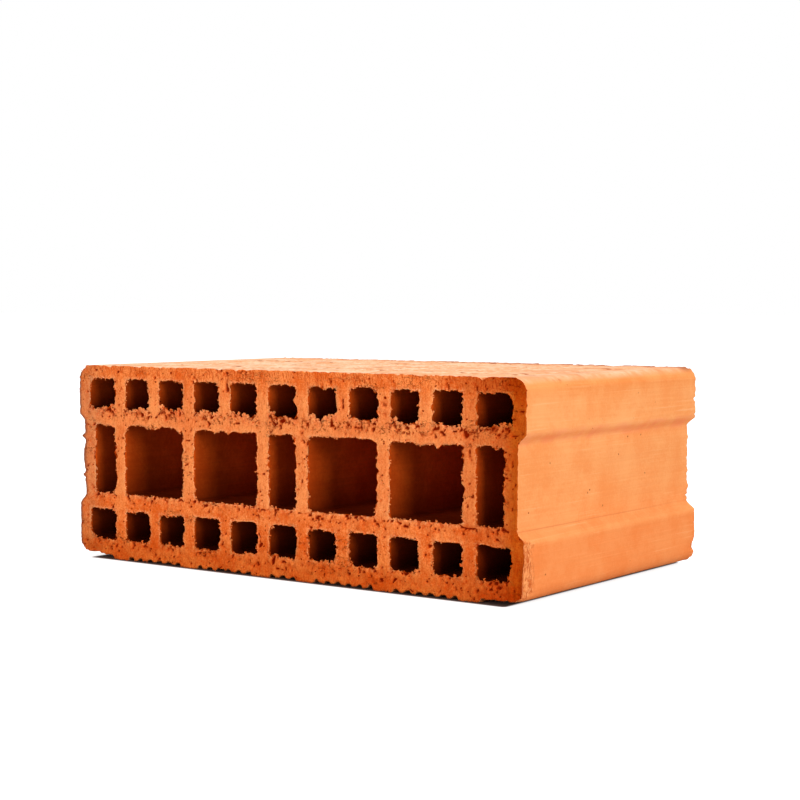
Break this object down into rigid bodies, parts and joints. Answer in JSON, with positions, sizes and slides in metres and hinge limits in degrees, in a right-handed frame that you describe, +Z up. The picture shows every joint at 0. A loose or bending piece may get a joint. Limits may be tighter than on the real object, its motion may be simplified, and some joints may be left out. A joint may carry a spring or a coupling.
{
  "type": "hollow clay brick",
  "caption": "Hollow fired-clay wall brick, extruded with through cells, combed faces for plaster and a mortar recess along each end.",
  "frame": {"origin": "on the floor, under the middle of the brick's outer box as it lies", "axes": "+X along the brick, +Y the way the clay left the die and so from one cut face to the other, +Z up through the wall's thickness"},
  "size_m": [0.33, 0.192, 0.12],
  "materials": {
    "fired_clay": "matt orange-red fired clay, rough on the wire-cut faces and smooth where the die pressed it"
  },
  "bodies": {
    "root": {"hollow_brick": "fired_clay"}
  },
  "joints": []
}
